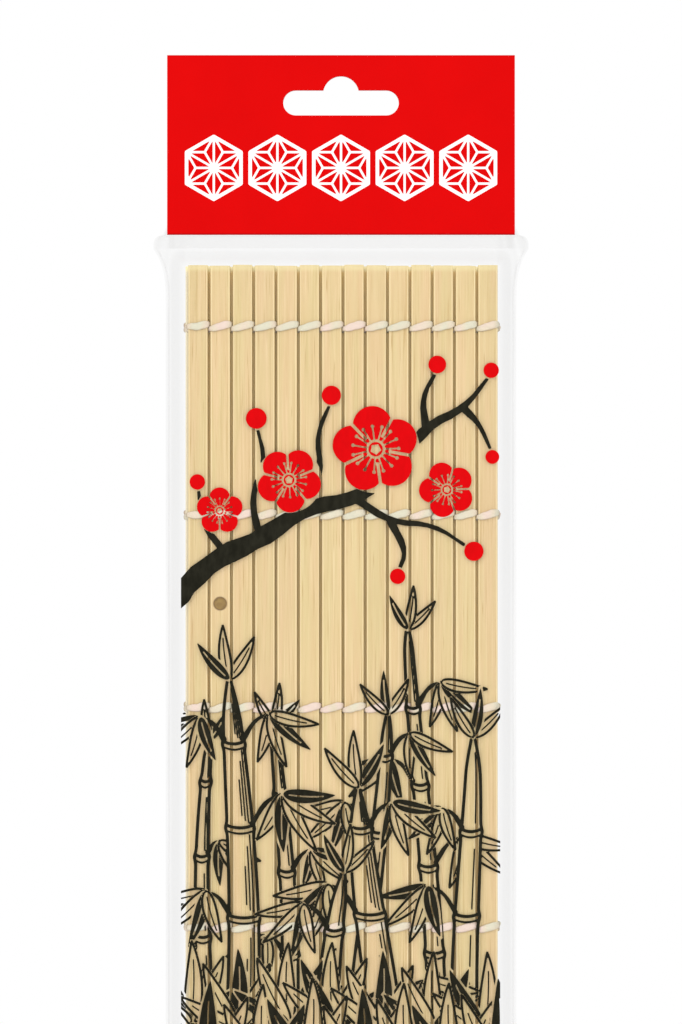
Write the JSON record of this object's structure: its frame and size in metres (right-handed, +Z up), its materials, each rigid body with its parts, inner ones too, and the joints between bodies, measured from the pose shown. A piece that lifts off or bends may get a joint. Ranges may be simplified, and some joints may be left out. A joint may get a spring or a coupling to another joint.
{
  "type": "sushi rolling mat",
  "caption": "Bamboo sushi rolling mat woven with cotton thread, folded flat in a clear film bag under a folded card with a hang slot.",
  "frame": {"origin": "top of the hang slot, midway through the thickness of the folded card", "axes": "+Z up along the slats, +X to the right seen from the front, +Y towards the back, and the front faces -Y"},
  "size_m": [0.098, 0.0106, 0.307],
  "materials": {
    "bamboo": "split bamboo, satin, fine straight grain",
    "thread": "twisted undyed cotton, matt",
    "card": "printed card, satin",
    "film": "clear polypropylene film, glossy"
  },
  "bodies": {
    "column_01": {"slat_01": "bamboo", "slat_28": "bamboo", "slat_29": "bamboo"},
    "column_02": {"slat_02": "bamboo", "slat_27": "bamboo", "slat_30": "bamboo"},
    "column_03": {"slat_03": "bamboo", "slat_26": "bamboo", "slat_31": "bamboo"},
    "column_04": {"slat_04": "bamboo", "slat_25": "bamboo", "slat_32": "bamboo"},
    "column_05": {"slat_05": "bamboo", "slat_24": "bamboo", "slat_33": "bamboo"},
    "column_06": {"slat_06": "bamboo", "slat_23": "bamboo", "slat_34": "bamboo"},
    "column_07": {"slat_07": "bamboo", "slat_22": "bamboo", "slat_35": "bamboo", "thread_1a": "thread", "thread_1b": "thread", "thread_2a": "thread", "thread_2b": "thread", "thread_3a": "thread", "thread_3b": "thread", "thread_4a": "thread", "thread_4b": "thread", "thread_5a": "thread", "thread_5b": "thread", "bag_front_film": "film", "bag_back_film": "film", "header_card": "card"},
    "column_08": {"slat_08": "bamboo", "slat_21": "bamboo", "slat_36": "bamboo"},
    "column_09": {"slat_09": "bamboo", "slat_20": "bamboo", "slat_37": "bamboo"},
    "column_10": {"slat_10": "bamboo", "slat_19": "bamboo", "slat_38": "bamboo"},
    "column_11": {"slat_11": "bamboo", "slat_18": "bamboo", "slat_39": "bamboo"},
    "column_12": {"slat_12": "bamboo", "slat_17": "bamboo", "slat_40": "bamboo"},
    "column_13": {"slat_13": "bamboo", "slat_16": "bamboo", "slat_41": "bamboo"},
    "column_14": {"slat_14": "bamboo", "slat_15": "bamboo", "slat_42": "bamboo", "thread_knots": "thread"}
  },
  "joints": [
    {"name": "curl_01", "type": "hinge", "parent": "column_02", "child": "column_01", "pos_m": [-0.0343, 0, -0.15], "axis": [0, 0, 1], "range_deg": [-6, 6], "stiffness_Nm_per_rad": 0.01, "deforming": ["thread_1a", "thread_1b", "thread_2a", "thread_2b", "thread_3a", "thread_3b", "thread_4a", "thread_4b", "thread_5a", "thread_5b", "bag_front_film", "bag_back_film", "header_card"]},
    {"name": "curl_02", "type": "hinge", "parent": "column_03", "child": "column_02", "pos_m": [-0.0285, 0, -0.15], "axis": [0, 0, 1], "range_deg": [-6, 6], "stiffness_Nm_per_rad": 0.01, "deforming": ["thread_1a", "thread_1b", "thread_2a", "thread_2b", "thread_3a", "thread_3b", "thread_4a", "thread_4b", "thread_5a", "thread_5b", "bag_front_film", "bag_back_film", "header_card"]},
    {"name": "curl_03", "type": "hinge", "parent": "column_04", "child": "column_03", "pos_m": [-0.0227, 0, -0.15], "axis": [0, 0, 1], "range_deg": [-6, 6], "stiffness_Nm_per_rad": 0.01, "deforming": ["thread_1a", "thread_1b", "thread_2a", "thread_2b", "thread_3a", "thread_3b", "thread_4a", "thread_4b", "thread_5a", "thread_5b", "bag_front_film", "bag_back_film", "header_card"]},
    {"name": "curl_04", "type": "hinge", "parent": "column_05", "child": "column_04", "pos_m": [-0.0169, 0, -0.15], "axis": [0, 0, 1], "range_deg": [-6, 6], "stiffness_Nm_per_rad": 0.01, "deforming": ["thread_1a", "thread_1b", "thread_2a", "thread_2b", "thread_3a", "thread_3b", "thread_4a", "thread_4b", "thread_5a", "thread_5b", "bag_front_film", "bag_back_film", "header_card"]},
    {"name": "curl_05", "type": "hinge", "parent": "column_06", "child": "column_05", "pos_m": [-0.0111, 0, -0.15], "axis": [0, 0, 1], "range_deg": [-6, 6], "stiffness_Nm_per_rad": 0.01, "deforming": ["thread_1a", "thread_1b", "thread_2a", "thread_2b", "thread_3a", "thread_3b", "thread_4a", "thread_4b", "thread_5a", "thread_5b", "bag_front_film", "bag_back_film", "header_card"]},
    {"name": "curl_06", "type": "hinge", "parent": "column_07", "child": "column_06", "pos_m": [-0.0053, 0, -0.15], "axis": [0, 0, 1], "range_deg": [-6, 6], "stiffness_Nm_per_rad": 0.01, "deforming": ["thread_1a", "thread_1b", "thread_2a", "thread_2b", "thread_3a", "thread_3b", "thread_4a", "thread_4b", "thread_5a", "thread_5b", "bag_front_film", "bag_back_film", "header_card"]},
    {"name": "curl_07", "type": "hinge", "parent": "column_07", "child": "column_08", "pos_m": [0.0005, 0, -0.15], "axis": [0, 0, -1], "range_deg": [-6, 6], "stiffness_Nm_per_rad": 0.01, "deforming": ["thread_1a", "thread_1b", "thread_2a", "thread_2b", "thread_3a", "thread_3b", "thread_4a", "thread_4b", "thread_5a", "thread_5b", "bag_front_film", "bag_back_film", "header_card"]},
    {"name": "curl_08", "type": "hinge", "parent": "column_08", "child": "column_09", "pos_m": [0.0063, 0, -0.15], "axis": [0, 0, -1], "range_deg": [-6, 6], "stiffness_Nm_per_rad": 0.01, "deforming": ["thread_1a", "thread_1b", "thread_2a", "thread_2b", "thread_3a", "thread_3b", "thread_4a", "thread_4b", "thread_5a", "thread_5b", "bag_front_film", "bag_back_film", "header_card"]},
    {"name": "curl_09", "type": "hinge", "parent": "column_09", "child": "column_10", "pos_m": [0.0121, 0, -0.15], "axis": [0, 0, -1], "range_deg": [-6, 6], "stiffness_Nm_per_rad": 0.01, "deforming": ["thread_1a", "thread_1b", "thread_2a", "thread_2b", "thread_3a", "thread_3b", "thread_4a", "thread_4b", "thread_5a", "thread_5b", "bag_front_film", "bag_back_film", "header_card"]},
    {"name": "curl_10", "type": "hinge", "parent": "column_10", "child": "column_11", "pos_m": [0.0179, 0, -0.15], "axis": [0, 0, -1], "range_deg": [-6, 6], "stiffness_Nm_per_rad": 0.01, "deforming": ["thread_1a", "thread_1b", "thread_2a", "thread_2b", "thread_3a", "thread_3b", "thread_4a", "thread_4b", "thread_5a", "thread_5b", "bag_front_film", "bag_back_film", "header_card"]},
    {"name": "curl_11", "type": "hinge", "parent": "column_11", "child": "column_12", "pos_m": [0.0237, 0, -0.15], "axis": [0, 0, -1], "range_deg": [-6, 6], "stiffness_Nm_per_rad": 0.01, "deforming": ["thread_1a", "thread_1b", "thread_2a", "thread_2b", "thread_3a", "thread_3b", "thread_4a", "thread_4b", "thread_5a", "thread_5b", "bag_front_film", "bag_back_film", "header_card"]},
    {"name": "curl_12", "type": "hinge", "parent": "column_12", "child": "column_13", "pos_m": [0.0295, 0, -0.15], "axis": [0, 0, -1], "range_deg": [-6, 6], "stiffness_Nm_per_rad": 0.01, "deforming": ["thread_1a", "thread_1b", "thread_2a", "thread_2b", "thread_3a", "thread_3b", "thread_4a", "thread_4b", "thread_5a", "thread_5b", "bag_front_film", "bag_back_film", "header_card"]},
    {"name": "curl_13", "type": "hinge", "parent": "column_13", "child": "column_14", "pos_m": [0.0353, 0, -0.15], "axis": [0, 0, -1], "range_deg": [-6, 6], "stiffness_Nm_per_rad": 0.01, "deforming": ["thread_1a", "thread_1b", "thread_2a", "thread_2b", "thread_3a", "thread_3b", "thread_4a", "thread_4b", "thread_5a", "thread_5b", "bag_front_film", "bag_back_film", "header_card"]}
  ]
}
